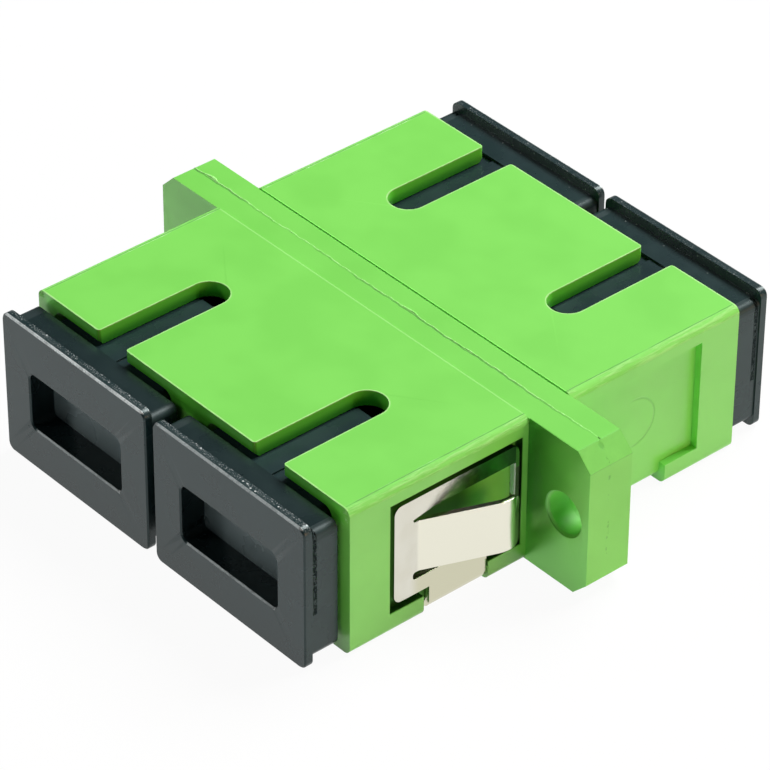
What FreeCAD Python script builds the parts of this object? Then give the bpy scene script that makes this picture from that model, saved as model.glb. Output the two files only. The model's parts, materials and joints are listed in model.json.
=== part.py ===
import FreeCAD, Part
import math
import os
import Sketcher

# Duplex fibre adapter for SC plugs: two identical moulded halves welded at the flange, four inner
# latches holding two split sleeves, a sheet-metal panel clip round the front half and four dust caps.
# +X runs across the two ports, the optical axes run along Y (front towards -Y), +Z is up. The origin
# is on the surface the body lies on, under the middle of the weld seam. Lengths are in millimetres.

SIZES = {
    # ports and walls of one moulded half
    "port_pitch": 12.7,
    "port_width": 9.2,
    "port_height": 7.45,
    "port_corner": 0.3,
    "side_wall": 1.65,
    "port_lead": 0.3,
    "top_wall": 0.95,
    "bottom_wall": 0.8,
    "half_length": 13.4,
    "edge_round": 0.45,
    # flange ears and their screw holes
    "ear_length": 4.55,
    "half_flange": 1.45,
    "flange_setback": 0.08,
    "flange_corner": 0.95,
    "screw_offset": 2.7,
    "screw_hole": 2.4,
    "screw_edge": 0.15,
    # key slots in the top wall
    "slot_width": 2.25,
    "slot_length": 7.6,
    "finger_round": 0.2,
    # side recesses and the groove for the clip's strap
    "recess_depth": 0.45,
    "recess_rim": 0.4,
    "recess_mouth_margin": 2.65,
    "recess_top_margin": 1.05,
    "recess_bottom_margin": 1.25,
    "groove_width": 4.4,
    "groove_from_mouth": 7.15,
    "groove_depth": 0.36,
    # split sleeves
    "sleeve_bore": 2.5,
    "sleeve_wall": 0.35,
    "sleeve_length": 11.4,
    "sleeve_slit": 0.5,
    "sleeve_lead": 0.12,
    # inner latches
    "seat_border": 0.45,
    "seat_gap": 0.1,
    "latch_base": 1.0,
    "tube_gap": 0.075,
    "tube_wall": 0.525,
    "tube_end_gap": 0.1,
    "tube_end_lip": 0.4,
    "tube_end_bore": 2.9,
    "tube_end_edge": 0.2,
    "arm_reach": 8.8,
    "arm_thickness": 0.8,
    "arm_height": 3.2,
    "arm_gap": 0.35,
    "arm_root_round": 0.35,
    "hook_bite": 0.4,
    "hook_length": 1.3,
    "hook_flat": 0.3,
    # panel clip
    "sheet": 0.3,
    "sheet_gap": 0.02,
    "strap_gap": 0.25,
    "strap_shift": 0.22,
    "bend_radius": 0.3,
    "plate_corner": 0.5,
    "plate_mouth_gap": 0.4,
    "plate_rim_gap": 0.1,
    "plate_top_gap": 0.45,
    "plate_bottom_gap": 0.35,
    "column_width": 1.25,
    "rim_bar": 0.35,
    "top_bar": 1.05,
    "bottom_bar": 0.95,
    "slit_width": 0.2,
    "lower_slit_width": 0.45,
    "slit_round": 0.17,
    "slit_rise": 0.25,
    "slit_rise_run": 1.4,
    "slit_length": 0.3,
    "tongue_reach": 1.73,
    "tongue_run": 4.75,
    "tongue_root_bend": 0.6,
    "tongue_bend": 1.6,
    "tip_turn": 0.115,
    "tip_run": 0.62,
    "tip_corner": 0.4,
    # dust caps
    "plug_side_gap": 0.22,
    "plug_top_gap": 0.05,
    "plug_length": 6.65,
    "plug_corner": 0.4,
    "cap_wall": 0.8,
    "collar_gap": 0.35,
    "collar_length": 1.7,
    "collar_height_step": 0.24,
    "lip_side_step": 0.08,
    "lip_thickness": 0.5,
    "lip_spacing": 0.7,
    "lip_floor_gap": 0.06,
    "lip_corner": 0.5,
    "lip_edge": 0.08,
    "finger_pocket_width": 7.65,
    "finger_pocket_height": 3.5,
    "finger_pocket_drop": 0.12,
    "finger_pocket_depth": 1.5,
    "finger_pocket_corner": 0.45,
    "finger_pocket_draft": 4.0,
    "cap_web": 0.8,
    "key_width": 1.4,
    "key_height": 0.12,
    "front_left_cap_shift": -0.1,
    "front_right_cap_shift": -0.2,
    "rear_right_cap_shift": -0.18,
}

doc = FreeCAD.newDocument("fibre_adapter")
sheet = doc.addObject("Spreadsheet::Sheet", "sizes")


class Size:
    # a number together with the sheet expression that gives it
    def __init__(self, number, text):
        self.number = float(number)
        self.text = text

    def joined(self, other, sign, swap=False):
        other = size_of(other)
        left, right = (other, self) if swap else (self, other)
        numbers = {"+": left.number + right.number, "-": left.number - right.number,
                   "*": left.number * right.number}
        number = left.number / right.number if sign == "/" else numbers[sign]
        return Size(number, f"({left.text} {sign} {right.text})")

    def __add__(self, other):
        return self.joined(other, "+")

    def __radd__(self, other):
        return self.joined(other, "+", swap=True)

    def __sub__(self, other):
        return self.joined(other, "-")

    def __rsub__(self, other):
        return self.joined(other, "-", swap=True)

    def __mul__(self, other):
        return self.joined(other, "*")

    def __rmul__(self, other):
        return self.joined(other, "*", swap=True)

    def __truediv__(self, other):
        return self.joined(other, "/")

    def __neg__(self):
        return self.joined(0, "-", swap=True)


def size_of(value):
    if isinstance(value, Size):
        return value
    return Size(value, repr(float(value)))


def fill_sheet():
    sizes = {}
    for row, (name, value) in enumerate(SIZES.items(), start=1):
        sheet.set(f"A{row}", name)
        sheet.set(f"B{row}", str(value))
        sheet.setAlias(f"B{row}", name)
        sizes[name] = Size(value, f"sizes.{name}")
    doc.recompute()
    return sizes


s = fill_sheet()

# sizes that follow from the sheet
axis_x = s["port_pitch"] / 2
axis_height = s["bottom_wall"] + s["port_height"] / 2
body_width = s["port_pitch"] + s["port_width"] + 2 * s["side_wall"]
body_height = s["bottom_wall"] + s["port_height"] + s["top_wall"]
plug_width = s["port_width"] - 2 * s["plug_side_gap"]
plug_height = s["port_height"] - 2 * s["plug_top_gap"]
recess_start = s["half_flange"] + s["recess_rim"]
recess_end = s["half_length"] - s["recess_mouth_margin"]
recess_top = body_height - s["recess_top_margin"]
groove_middle = s["half_length"] - s["groove_from_mouth"]
sleeve_outer = s["sleeve_bore"] + 2 * s["sleeve_wall"]
cap_front = s["collar_gap"] + s["collar_length"] + s["lip_thickness"]

CUT_MARGIN = 1.0    # how far a cutting sketch runs past an open side
LEAD_SLOPE = 45.0   # degrees, the lead-in at a port's mouth


def origin_plane(body, role):
    for feature in body.Origin.OriginFeatures:
        if feature.Role == role:
            return feature
    raise ValueError(role)


def new_sketch(body, name, role, offset=0.0):
    # offset is measured along the plane's normal: -Y for XZ_Plane, +X for YZ_Plane, +Z for XY_Plane
    sketch = body.newObject("Sketcher::SketchObject", name)
    sketch.AttachmentSupport = (origin_plane(body, role), [""])
    sketch.MapMode = "FlatFace"
    offset = size_of(offset)
    sketch.AttachmentOffset = FreeCAD.Placement(FreeCAD.Vector(0, 0, offset.number), FreeCAD.Rotation())
    sketch.setExpression("AttachmentOffset.Base.z", offset.text)
    return sketch


def bind(sketch, constraint, size):
    size = size_of(size)
    index = sketch.addConstraint(constraint)
    sketch.setExpression(f"Constraints[{index}]", size.text)


def hold_point(sketch, edge, end, across, up):
    # fix one sketch point by its signed distances from the sketch's origin
    for kind, place in (("DistanceX", size_of(across)), ("DistanceY", size_of(up))):
        bind(sketch, Sketcher.Constraint(kind, -1, 1, edge, end, place.number), place)


def vector(across, up):
    return FreeCAD.Vector(size_of(across).number, size_of(up).number, 0)


def draw_polygon(sketch, corners):
    count = len(corners)
    first = sketch.GeometryCount
    for index, corner in enumerate(corners):
        following = corners[(index + 1) % count]
        sketch.addGeometry(Part.LineSegment(vector(*corner), vector(*following)), False)
    for index, corner in enumerate(corners):
        after = first + (index + 1) % count
        sketch.addConstraint(Sketcher.Constraint("Coincident", first + index, 2, after, 1))
        hold_point(sketch, first + index, 1, *corner)


def draw_rectangle(sketch, left, right, bottom, top):
    draw_polygon(sketch, [(left, bottom), (right, bottom), (right, top), (left, top)])


def draw_rounded_rectangle(sketch, left, right, bottom, top, radius):
    left, right, bottom, top, radius = [size_of(v) for v in (left, right, bottom, top, radius)]
    lower = [(left + radius, bottom), (right - radius, bottom)]
    rising = [(right, bottom + radius), (right, top - radius)]
    upper = [(right - radius, top), (left + radius, top)]
    falling = [(left, top - radius), (left, bottom + radius)]
    centres = [(right - radius, bottom + radius), (right - radius, top - radius),
               (left + radius, top - radius), (left + radius, bottom + radius)]
    for start, end in (lower, rising, upper, falling):
        sketch.addGeometry(Part.LineSegment(vector(*start), vector(*end)), False)
    for turn, centre in enumerate(centres, start=-1):
        circle = Part.Circle(vector(*centre), FreeCAD.Vector(0, 0, 1), radius.number)
        quarter = math.pi / 2
        sketch.addGeometry(Part.ArcOfCircle(circle, turn * quarter, (turn + 1) * quarter), False)
    for side in range(4):
        sketch.addConstraint(Sketcher.Constraint("Tangent", side, 2, side + 4, 1))
        sketch.addConstraint(Sketcher.Constraint("Tangent", side + 4, 2, (side + 1) % 4, 1))
        sketch.addConstraint(Sketcher.Constraint("Vertical" if side % 2 else "Horizontal", side))
    for arc in (5, 6, 7):
        sketch.addConstraint(Sketcher.Constraint("Equal", 4, arc))
    bind(sketch, Sketcher.Constraint("Radius", 4, radius.number), radius)
    bind(sketch, Sketcher.Constraint("DistanceY", -1, 1, 0, 1, bottom.number), bottom)
    bind(sketch, Sketcher.Constraint("DistanceX", -1, 1, 1, 1, right.number), right)
    bind(sketch, Sketcher.Constraint("DistanceY", -1, 1, 2, 1, top.number), top)
    bind(sketch, Sketcher.Constraint("DistanceX", -1, 1, 3, 1, left.number), left)


def draw_circle(sketch, across, up, diameter):
    diameter = size_of(diameter)
    circle = Part.Circle(vector(across, up), FreeCAD.Vector(0, 0, 1), diameter.number / 2)
    edge = sketch.addGeometry(circle, False)
    hold_point(sketch, edge, 3, across, up)
    bind(sketch, Sketcher.Constraint("Diameter", edge, diameter.number), diameter)


def pad(body, name, sketch, length):
    # grows along the sketch plane's normal
    feature = body.newObject("PartDesign::Pad", name)
    feature.Profile = sketch
    feature.Length = size_of(length).number
    feature.setExpression("Length", size_of(length).text)
    sketch.Visibility = False
    return feature


def pocket(body, name, sketch, length, along_normal=False):
    # cuts against the sketch plane's normal, or along it
    feature = body.newObject("PartDesign::Pocket", name)
    feature.Profile = sketch
    feature.Length = size_of(length).number
    feature.setExpression("Length", size_of(length).text)
    feature.Reversed = along_normal
    sketch.Visibility = False
    return feature


def mirrored(body, name, originals, role="YZ_Plane"):
    feature = body.newObject("PartDesign::Mirrored", name)
    feature.Originals = originals
    feature.MirrorPlane = (origin_plane(body, role), [""])
    body.Tip = feature
    return feature


def edges_where(feature, wanted):
    # names of the edges whose straight line or middle point answers the test
    names = []
    for number, edge in enumerate(feature.Shape.Edges, start=1):
        box = edge.BoundBox
        if wanted(edge, box):
            names.append(f"Edge{number}")
    return names


def runs_along(edge, box, axis):
    # a straight edge parallel to one axis
    lengths = {"x": box.XLength, "y": box.YLength, "z": box.ZLength}
    others = [lengths[key] for key in lengths if key != axis]
    return edge.Curve.TypeId == "Part::GeomLine" and max(others) < 1e-4


def near(value, *places):
    return any(abs(value - size_of(place).number) < 1e-3 for place in places)


def dress(body, kind, name, base, names, size):
    # a Fillet or a Chamfer on named edges of base
    if not names:
        raise ValueError(f"{body.Label} {name}: no edges found")
    feature = body.newObject(f"PartDesign::{kind}", name)
    feature.Base = (base, names)
    value = "Radius" if kind == "Fillet" else "Size"
    setattr(feature, value, size_of(size).number)
    feature.setExpression(value, size_of(size).text)
    return feature


def set_place(body, across, along, up, turn=0.0):
    # turn is about Z; the place follows the sheet
    places = [size_of(value) for value in (across, along, up)]
    base = FreeCAD.Vector(*[place.number for place in places])
    body.Placement = FreeCAD.Placement(base, FreeCAD.Rotation(FreeCAD.Vector(0, 0, 1), turn))
    for letter, place in zip("xyz", places):
        body.setExpression(f"Placement.Base.{letter}", place.text)


def new_body(label):
    body = doc.addObject("PartDesign::Body", label)
    body.Label = label
    return body


# Moulded halves.

def draw_key_slot(sketch):
    # open at the mouth, round at its inner end
    half = s["slot_width"] / 2
    left, right = axis_x - half, axis_x + half
    mouth = -s["half_length"] - CUT_MARGIN
    turn = s["slot_length"] - s["half_length"] - half
    corners = [(left, turn), (left, mouth), (right, mouth), (right, turn)]
    for start, end in zip(corners, corners[1:]):
        sketch.addGeometry(Part.LineSegment(vector(*start), vector(*end)), False)
    circle = Part.Circle(vector(axis_x, turn), FreeCAD.Vector(0, 0, 1), half.number)
    sketch.addGeometry(Part.ArcOfCircle(circle, 0, math.pi), False)
    for line in (0, 1):
        sketch.addConstraint(Sketcher.Constraint("Coincident", line, 2, line + 1, 1))
    sketch.addConstraint(Sketcher.Constraint("Tangent", 2, 2, 3, 1))
    sketch.addConstraint(Sketcher.Constraint("Coincident", 3, 2, 0, 1))
    for line, corner in enumerate(corners[:3]):
        hold_point(sketch, line, 1, *corner)
    sketch.addConstraint(Sketcher.Constraint("Vertical", 2))
    bind(sketch, Sketcher.Constraint("DistanceY", -1, 1, 3, 3, turn.number), turn)


def make_housing(label, turn):
    body = new_body(label)
    half_width = body_width / 2
    ear_end = half_width + s["ear_length"]
    port_left = axis_x - s["port_width"] / 2
    port_right = axis_x + s["port_width"] / 2
    port_top = s["bottom_wall"] + s["port_height"]
    mouth_y = -s["half_length"]

    # the body stands proud of the flange's band, which runs right round it
    block_sketch = new_sketch(body, f"{label}_block_sketch", "XZ_Plane", s["half_flange"])
    draw_rounded_rectangle(block_sketch, -half_width, half_width, 0, body_height, s["edge_round"])
    pad(body, f"{label}_block", block_sketch, s["half_length"] - s["half_flange"])

    low = s["flange_setback"]
    high = body_height - s["flange_setback"]
    cut = s["flange_corner"]
    flange_sketch = new_sketch(body, f"{label}_flange_sketch", "XZ_Plane")
    draw_polygon(flange_sketch, [
        (-ear_end + cut, low), (ear_end - cut, low), (ear_end, low + cut), (ear_end, high - cut),
        (ear_end - cut, high), (-ear_end + cut, high), (-ear_end, high - cut), (-ear_end, low + cut)])
    pad(body, f"{label}_flange", flange_sketch, s["half_flange"])

    port_sketch = new_sketch(body, f"{label}_port_sketch", "XZ_Plane", -CUT_MARGIN)
    draw_rounded_rectangle(port_sketch, port_left, port_right, s["bottom_wall"], port_top,
                           s["port_corner"])
    port = pocket(body, f"{label}_port", port_sketch, s["half_length"] + 2 * CUT_MARGIN, True)

    # the mouth is flared by a sloped lead-in that ends on the port's own outline
    lead = s["port_lead"]
    lead_sketch = new_sketch(body, f"{label}_lead_sketch", "XZ_Plane", s["half_length"])
    draw_rounded_rectangle(lead_sketch, port_left - lead, port_right + lead,
                           s["bottom_wall"] - lead, port_top + lead, s["port_corner"] + lead)
    mouth = pocket(body, f"{label}_lead", lead_sketch, lead)
    mouth.TaperAngle = -LEAD_SLOPE

    border = s["seat_border"]
    seat_sketch = new_sketch(body, f"{label}_seat_sketch", "XZ_Plane")
    draw_rectangle(seat_sketch, port_left - border, port_right + border,
                   s["bottom_wall"] - border, port_top + border)
    seat = pocket(body, f"{label}_seat", seat_sketch, s["latch_base"], True)

    slot_sketch = new_sketch(body, f"{label}_slot_sketch", "XY_Plane", body_height)
    draw_key_slot(slot_sketch)
    slot = pocket(body, f"{label}_slot", slot_sketch, s["top_wall"] + s["port_corner"])

    recess_floor = half_width - s["recess_depth"]
    recess_sketch = new_sketch(body, f"{label}_recess_sketch", "YZ_Plane", recess_floor)
    draw_rectangle(recess_sketch, -recess_end, -recess_start, s["recess_bottom_margin"], recess_top)
    recess = pocket(body, f"{label}_recess", recess_sketch, s["recess_depth"] + CUT_MARGIN, True)

    groove_left = -groove_middle - s["groove_width"] / 2
    groove_right = -groove_middle + s["groove_width"] / 2
    groove_sketch = new_sketch(body, f"{label}_groove_sketch", "YZ_Plane", recess_floor)
    draw_rectangle(groove_sketch, groove_left, groove_right, -CUT_MARGIN, s["recess_bottom_margin"])
    groove = pocket(body, f"{label}_groove", groove_sketch, s["recess_depth"] + CUT_MARGIN, True)

    screw_x = half_width + s["screw_offset"]
    screw_sketch = new_sketch(body, f"{label}_screw_sketch", "XZ_Plane", -CUT_MARGIN)
    draw_circle(screw_sketch, screw_x, body_height / 2, s["screw_hole"])
    screw = pocket(body, f"{label}_screw", screw_sketch, s["half_flange"] + 2 * CUT_MARGIN, True)

    pair = mirrored(body, f"{label}_pair", [port, mouth, seat, slot, recess, groove, screw])

    under_sketch = new_sketch(body, f"{label}_under_sketch", "XY_Plane", s["groove_depth"])
    draw_rectangle(under_sketch, -half_width - CUT_MARGIN, half_width + CUT_MARGIN,
                   groove_left, groove_right)
    under = pocket(body, f"{label}_under", under_sketch, s["groove_depth"] + CUT_MARGIN)
    doc.recompute()

    # fingers beside each key slot have rounded corners at the mouth
    slot_sides = [side * axis_x + way * s["slot_width"] / 2 for side in (-1, 1) for way in (-1, 1)]

    def is_finger_corner(edge, box):
        return (runs_along(edge, box, "z") and near(box.YMin, mouth_y) and near(box.XMin, *slot_sides)
                and box.ZMin > port_top.number - 1e-3)

    fingers = dress(body, "Fillet", f"{label}_fingers", under,
                    edges_where(under, is_finger_corner), s["finger_round"])
    doc.recompute()

    # the clip's strap bends round these edges
    def is_strap_corner(edge, box):
        return (runs_along(edge, box, "y") and near(box.ZMin, s["groove_depth"])
                and near(abs(box.XMin), recess_floor))

    corners = dress(body, "Fillet", f"{label}_strap_corners", fingers,
                    edges_where(fingers, is_strap_corner), s["edge_round"])
    doc.recompute()

    def is_screw_mouth(edge, box):
        return (edge.Curve.TypeId == "Part::GeomCircle" and near(box.YMin, -s["half_flange"])
                and near(box.ZLength, s["screw_hole"]))

    dress(body, "Chamfer", f"{label}_screw_edges", corners,
          edges_where(corners, is_screw_mouth), s["screw_edge"])
    set_place(body, 0, 0, 0, turn)
    return body


# Inner latches, each carrying half of a sleeve.

def make_latch(label, side, turn):
    # built about its optical axis, with its base on the weld plane
    body = new_body(label)
    base_half_width = s["port_width"] / 2 + s["seat_border"] - s["seat_gap"]
    base_half_height = s["port_height"] / 2 + s["seat_border"] - s["seat_gap"]
    tube_bore = sleeve_outer + 2 * s["tube_gap"]
    tube_outer = tube_bore + 2 * s["tube_wall"]
    cavity = s["sleeve_length"] / 2 + s["tube_end_gap"]
    tube_length = cavity + s["tube_end_lip"]
    arm_outer = plug_width / 2 - s["cap_wall"] - s["arm_gap"]
    arm_inner = arm_outer - s["arm_thickness"]
    arm_half = s["arm_height"] / 2

    base_sketch = new_sketch(body, f"{label}_base_sketch", "XZ_Plane")
    draw_rectangle(base_sketch, -base_half_width, base_half_width, -base_half_height, base_half_height)
    pad(body, f"{label}_base", base_sketch, s["latch_base"])

    tube_sketch = new_sketch(body, f"{label}_tube_sketch", "XZ_Plane")
    draw_circle(tube_sketch, 0, 0, tube_outer)
    pad(body, f"{label}_tube", tube_sketch, tube_length)

    # each arm ends in a hook that faces the tube, with a sloped lead-in
    arm_sketch = new_sketch(body, f"{label}_arm_sketch", "XY_Plane", -arm_half)
    tip = -s["arm_reach"]
    heel = tip + s["hook_length"]
    hook_face = arm_inner - s["hook_bite"]
    draw_polygon(arm_sketch, [
        (arm_outer, 0), (arm_outer, tip), (arm_inner, tip), (hook_face, heel - s["hook_flat"]),
        (hook_face, heel), (arm_inner, heel), (arm_inner, 0)])
    arm = pad(body, f"{label}_arm", arm_sketch, s["arm_height"])
    arms = mirrored(body, f"{label}_arms", [arm])

    bore_sketch = new_sketch(body, f"{label}_bore_sketch", "XZ_Plane", -CUT_MARGIN)
    draw_circle(bore_sketch, 0, 0, tube_bore)
    pocket(body, f"{label}_bore", bore_sketch, cavity + CUT_MARGIN, True)

    end_sketch = new_sketch(body, f"{label}_end_sketch", "XZ_Plane")
    draw_circle(end_sketch, 0, 0, s["tube_end_bore"])
    end = pocket(body, f"{label}_end", end_sketch, tube_length + CUT_MARGIN, True)
    doc.recompute()

    def is_arm_root(edge, box):
        return (runs_along(edge, box, "z") and near(box.YMin, -s["latch_base"])
                and near(abs(box.XMin), arm_outer))

    def is_tube_mouth(edge, box):
        return (edge.Curve.TypeId == "Part::GeomCircle" and near(box.YMin, -tube_length)
                and near(box.ZLength, s["tube_end_bore"]))

    roots = dress(body, "Fillet", f"{label}_arm_roots", end,
                  edges_where(end, is_arm_root), s["arm_root_round"])
    doc.recompute()
    dress(body, "Chamfer", f"{label}_tube_mouth", roots,
          edges_where(roots, is_tube_mouth), s["tube_end_edge"])
    set_place(body, side * axis_x, 0, axis_height, turn)
    return body


def make_sleeve(label, side):
    # turned tube with a slit along its top and a lead-in at each end of its bore
    body = new_body(label)
    inner = s["sleeve_bore"] / 2
    outer = sleeve_outer / 2
    half = s["sleeve_length"] / 2
    lead = s["sleeve_lead"]
    wall_sketch = new_sketch(body, f"{label}_wall_sketch", "XY_Plane")
    draw_polygon(wall_sketch, [
        (inner, -half + lead), (inner + lead, -half), (outer, -half), (outer, half),
        (inner + lead, half), (inner, half - lead)])
    wall = body.newObject("PartDesign::Revolution", f"{label}_wall")
    wall.Profile = wall_sketch
    wall.ReferenceAxis = (wall_sketch, ["V_Axis"])
    wall.Angle = 360
    wall_sketch.Visibility = False

    slit_half = s["sleeve_slit"] / 2
    slit_sketch = new_sketch(body, f"{label}_slit_sketch", "XY_Plane")
    draw_rectangle(slit_sketch, -slit_half, slit_half, -half - CUT_MARGIN, half + CUT_MARGIN)
    pocket(body, f"{label}_slit", slit_sketch, outer + CUT_MARGIN, True)
    set_place(body, side * axis_x, 0, axis_height)
    return body


# Panel clip, folded from one strip of spring sheet.

def make_panel_clip(label):
    body = new_body(label)
    half_width = body_width / 2
    inner_x = half_width - s["recess_depth"] + s["sheet_gap"]
    outer_x = inner_x + s["sheet"]
    strap_top = s["groove_depth"] - s["sheet_gap"]
    strap_bottom = strap_top - s["sheet"]
    strap_half = s["groove_width"] / 2 - s["strap_gap"]

    plate_left = -recess_end + s["plate_mouth_gap"]
    plate_right = -recess_start - s["plate_rim_gap"]
    plate_bottom = s["recess_bottom_margin"] + s["plate_bottom_gap"]
    plate_top = recess_top - s["plate_top_gap"]

    # the strap runs under the body and up both sides
    strap_sketch = new_sketch(body, f"{label}_strap_sketch", "XZ_Plane",
                              groove_middle - s["strap_shift"] - strap_half)
    leg_top = plate_bottom + s["bottom_bar"] / 2
    draw_polygon(strap_sketch, [
        (-outer_x, strap_bottom), (outer_x, strap_bottom), (outer_x, leg_top), (inner_x, leg_top),
        (inner_x, strap_top), (-inner_x, strap_top), (-inner_x, leg_top), (-outer_x, leg_top)])
    strap = pad(body, f"{label}_strap", strap_sketch, 2 * strap_half)
    doc.recompute()

    def is_inner_fold(edge, box):
        return runs_along(edge, box, "y") and near(box.ZMin, strap_top) and near(abs(box.XMin), inner_x)

    def is_outer_fold(edge, box):
        return (runs_along(edge, box, "y") and near(box.ZMin, strap_bottom)
                and near(abs(box.XMin), outer_x))

    inner_folds = dress(body, "Fillet", f"{label}_inner_folds", strap,
                        edges_where(strap, is_inner_fold), s["bend_radius"])
    doc.recompute()
    dress(body, "Fillet", f"{label}_outer_folds", inner_folds,
          edges_where(inner_folds, is_outer_fold), s["bend_radius"] + s["sheet"])

    plate_sketch = new_sketch(body, f"{label}_plate_sketch", "YZ_Plane", inner_x)
    draw_rounded_rectangle(plate_sketch, plate_left, plate_right, plate_bottom, plate_top,
                           s["plate_corner"])
    plate = pad(body, f"{label}_plate", plate_sketch, s["sheet"])

    # the window leaves a tongue, joined to the plate at its mouth-side end
    window_left = plate_left + s["column_width"]
    window_right = plate_right - s["rim_bar"]
    window_bottom = plate_bottom + s["bottom_bar"]
    window_top = plate_top - s["top_bar"]
    root_y = window_left + s["slit_length"]
    tongue_bottom = window_bottom + s["lower_slit_width"]
    tongue_top = window_top - s["slit_rise"] - s["slit_width"]
    rise_end = window_left + s["slit_rise_run"]
    window_sketch = new_sketch(body, f"{label}_window_sketch", "YZ_Plane", inner_x - CUT_MARGIN)
    draw_polygon(window_sketch, [
        (window_left, window_bottom), (window_right, window_bottom), (window_right, window_top),
        (rise_end, window_top), (window_left, window_top - s["slit_rise"]), (window_left, tongue_top),
        (root_y, tongue_top), (root_y, tongue_bottom), (window_left, tongue_bottom)])
    window = pocket(body, f"{label}_window", window_sketch, s["sheet"] + 2 * CUT_MARGIN, True)

    # the tongue springs out towards the flange and turns back in at its tip
    middle_x = inner_x + s["sheet"] / 2
    bend_x = middle_x + s["tongue_reach"]
    bend_y = root_y + s["tongue_run"]
    tip_x = bend_x - s["tip_turn"]
    tip_y = bend_y + s["tip_run"]
    path_sketch = new_sketch(body, f"{label}_tongue_path", "XY_Plane", (tongue_bottom + tongue_top) / 2)
    draw_tongue_path(path_sketch, (middle_x, root_y), (bend_x, bend_y), (tip_x, tip_y))
    section_sketch = new_sketch(body, f"{label}_tongue_section", "XZ_Plane", -root_y)
    draw_rectangle(section_sketch, inner_x, outer_x, tongue_bottom, tongue_top)
    tongue = body.newObject("PartDesign::AdditivePipe", f"{label}_tongue")
    tongue.Profile = section_sketch
    tongue.Spine = path_sketch
    path_sketch.Visibility = False
    section_sketch.Visibility = False
    sides = mirrored(body, f"{label}_sides", [plate, window, tongue])
    doc.recompute()

    # the slits end round and so do the tongues' free corners
    def is_slit_end(edge, box):
        return (runs_along(edge, box, "x") and near(box.YMin, window_left)
                and near(box.ZMin, window_bottom, tongue_bottom, tongue_top))

    def is_tip_corner(edge, box):
        return (edge.Curve.TypeId == "Part::GeomLine" and near(edge.Length, s["sheet"])
                and near(box.ZMin, tongue_bottom, tongue_top) and near(box.ZLength, 0)
                and box.YMin > bend_y.number)

    slit_ends = dress(body, "Fillet", f"{label}_slit_ends", sides,
                      edges_where(sides, is_slit_end), s["slit_round"])
    doc.recompute()
    dress(body, "Fillet", f"{label}_tip_corners", slit_ends,
          edges_where(slit_ends, is_tip_corner), s["tip_corner"])
    return body


def draw_tongue_path(sketch, root, bend, tip):
    # straight runs joined by a tangent arc at the bend; the first run starts with an arc off the plate
    splay = math.atan2(bend[0].number - root[0].number, bend[1].number - root[1].number)
    turn_in = math.atan2(bend[0].number - tip[0].number, tip[1].number - bend[1].number)
    root_radius = s["tongue_root_bend"].number
    radius = s["tongue_bend"].number
    root_centre = (root[0].number + root_radius, root[1].number)
    leave = (root_centre[0] - root_radius * math.cos(splay),
             root[1].number + root_radius * math.sin(splay))
    setback = radius * math.tan((splay + turn_in) / 2)
    before = (bend[0].number - setback * math.sin(splay), bend[1].number - setback * math.cos(splay))
    after = (bend[0].number - setback * math.sin(turn_in), bend[1].number + setback * math.cos(turn_in))
    bend_centre = (before[0] - radius * math.cos(splay), before[1] + radius * math.sin(splay))
    up = FreeCAD.Vector(0, 0, 1)
    root_circle = Part.Circle(vector(*root_centre), up, root_radius)
    bend_circle = Part.Circle(vector(*bend_centre), up, radius)
    sketch.addGeometry(Part.ArcOfCircle(root_circle, math.pi - splay, math.pi), False)
    sketch.addGeometry(Part.LineSegment(vector(*leave), vector(*before)), False)
    sketch.addGeometry(Part.ArcOfCircle(bend_circle, -splay, turn_in), False)
    sketch.addGeometry(Part.LineSegment(vector(*after), vector(*tip)), False)
    hold_point(sketch, 0, 2, *root)
    bind(sketch, Sketcher.Constraint("DistanceY", -1, 1, 0, 3, root[1].number), root[1])
    bind(sketch, Sketcher.Constraint("Radius", 0, root_radius), s["tongue_root_bend"])
    sketch.addConstraint(Sketcher.Constraint("Tangent", 0, 1, 1, 1))
    sketch.addConstraint(Sketcher.Constraint("Tangent", 1, 2, 2, 1))
    sketch.addConstraint(Sketcher.Constraint("Tangent", 2, 2, 3, 1))
    bind(sketch, Sketcher.Constraint("Radius", 2, radius), s["tongue_bend"])
    # the outermost point of the bend sets the tongue's reach
    hold_point(sketch, 3, 2, *tip)
    reach = bend[0] - s["tongue_bend"]
    bend_place = bend[1]
    bind(sketch, Sketcher.Constraint("DistanceX", -1, 1, 2, 3, reach.number), reach)
    bind(sketch, Sketcher.Constraint("DistanceY", -1, 1, 2, 3, bend_place.number), bend_place)


# Dust caps.

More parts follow.
